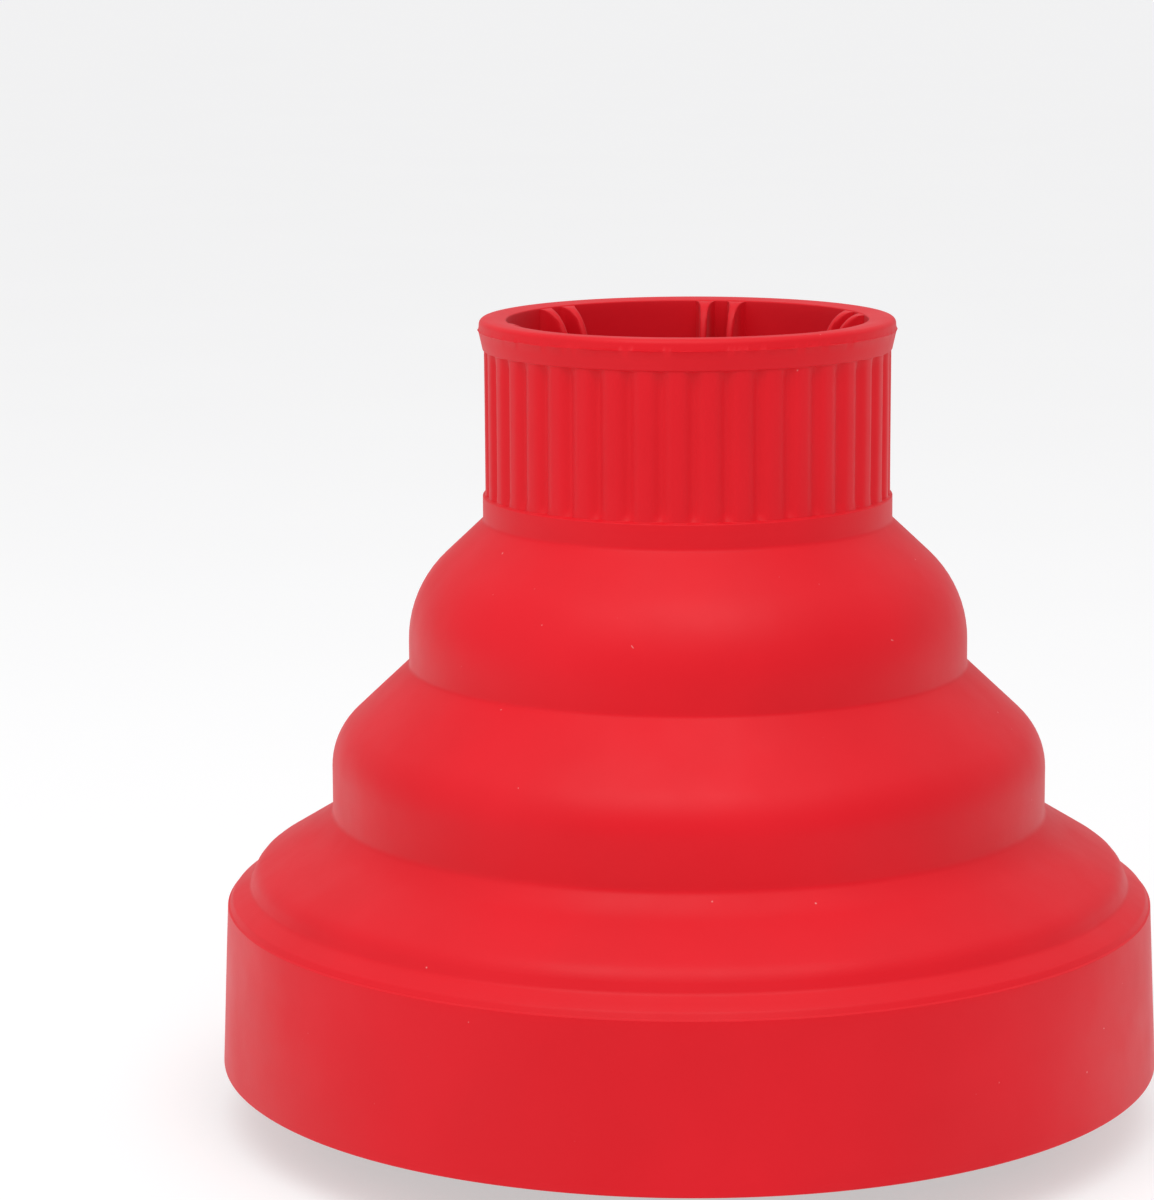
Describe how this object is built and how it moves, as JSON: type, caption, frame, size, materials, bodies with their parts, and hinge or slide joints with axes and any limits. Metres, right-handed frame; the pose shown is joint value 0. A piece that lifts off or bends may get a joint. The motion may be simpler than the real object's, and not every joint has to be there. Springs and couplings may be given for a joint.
{
  "type": "hair dryer diffuser",
  "caption": "Collapsible red silicone diffuser with a ribbed neck, stepped domed folds and a black honeycomb plate with rounded fingers.",
  "frame": {"origin": "on the axis, in the plane of the outer fingers' tips, which the diffuser stands on", "axes": "+Z along the axis from the mouth to the neck; +X towards the middle of the gap between two outer fingers"},
  "size_m": [0.135, 0.135, 0.1151],
  "materials": {
    "silicone": "matte soft-touch silicone, red",
    "plate_plastic": "satin moulded, black",
    "finger_plastic": "smooth satin, black"
  },
  "bodies": {
    "drum_body": {"drum": "silicone", "lower_fold_web": "silicone", "honeycomb_plate": "plate_plastic", "back_baffle": "plate_plastic", "hub_disc": "plate_plastic", "outer_finger_1": "finger_plastic", "outer_finger_2": "finger_plastic", "outer_finger_3": "finger_plastic", "outer_finger_4": "finger_plastic", "outer_finger_5": "finger_plastic", "outer_finger_6": "finger_plastic", "inner_finger_1": "finger_plastic", "inner_finger_2": "finger_plastic", "inner_finger_3": "finger_plastic"},
    "middle_body": {"middle_ring": "silicone", "middle_fold_web": "silicone"},
    "upper_body": {"upper_ring": "silicone", "upper_fold_web": "silicone"},
    "neck_body": {"neck_sleeve": "silicone", "nozzle_grip_fins": "silicone"}
  },
  "joints": [
    {"name": "lower_fold", "type": "slide", "parent": "drum_body", "child": "middle_body", "axis": [0, 0, -1], "range_m": [0, 0.016], "deforming": ["lower_fold_web"]},
    {"name": "middle_fold", "type": "slide", "parent": "middle_body", "child": "upper_body", "axis": [0, 0, -1], "range_m": [0, 0.02], "deforming": ["middle_fold_web"]},
    {"name": "upper_fold", "type": "slide", "parent": "upper_body", "child": "neck_body", "axis": [0, 0, -1], "range_m": [0, 0.022], "deforming": ["upper_fold_web"]}
  ]
}
